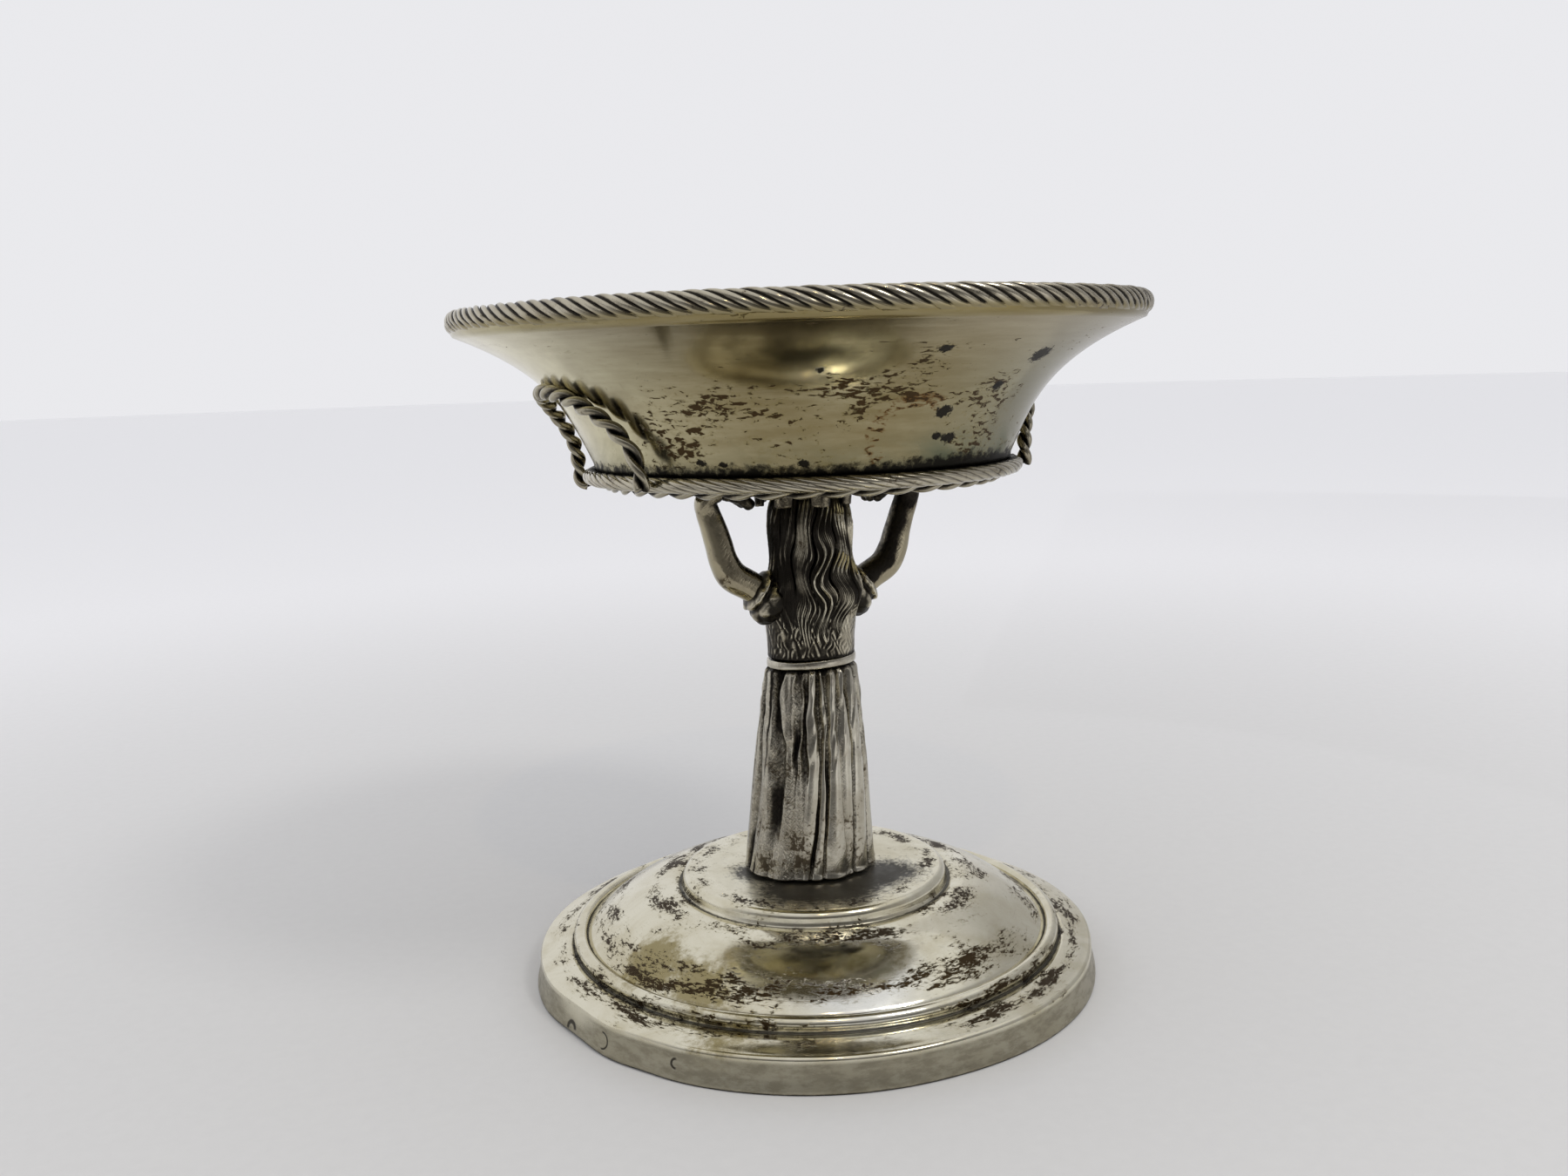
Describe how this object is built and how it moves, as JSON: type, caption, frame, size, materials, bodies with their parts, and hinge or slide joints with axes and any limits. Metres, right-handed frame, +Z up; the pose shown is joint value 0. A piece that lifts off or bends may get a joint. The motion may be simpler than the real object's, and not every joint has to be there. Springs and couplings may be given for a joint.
{
  "type": "figural footed dish",
  "caption": "Small silver dish: a shallow flared bowl with a rope-wire rim and twisted-wire loops, carried on the head and raised hands of a standing figure on a stepped round foot.",
  "frame": {"origin": "middle of the foot's underside, on the table", "axes": "+Z up along the stem, -Y the way the figure faces, +X the figure's left side and the middle of the left handle"},
  "size_m": [0.08, 0.08, 0.0796],
  "materials": {
    "foot_silver": "polished silver, pale, spotted with dark tarnish",
    "fixing_steel": "dull turned steel",
    "figure_silver": "cast silver, oxidised in the recesses and worn bright on the ridges",
    "bowl_silver": "polished silver under a warm grey tarnish",
    "rope_silver": "silver rope wire, dark between the strands",
    "handle_silver": "twisted silver wire, dark between the strands"
  },
  "bodies": {
    "root": {"foot_shell": "foot_silver", "foot_stud": "fixing_steel", "foot_washer": "fixing_steel", "foot_nut": "fixing_steel", "figure_skirt": "figure_silver", "figure_belt": "figure_silver", "figure_bust": "figure_silver", "left_arm": "figure_silver", "right_arm": "figure_silver", "head_capital": "figure_silver", "bowl": "bowl_silver", "rim_rope": "rope_silver", "base_rope": "rope_silver", "under_ring": "rope_silver", "left_handle": "handle_silver", "right_handle": "handle_silver"}
  },
  "joints": []
}
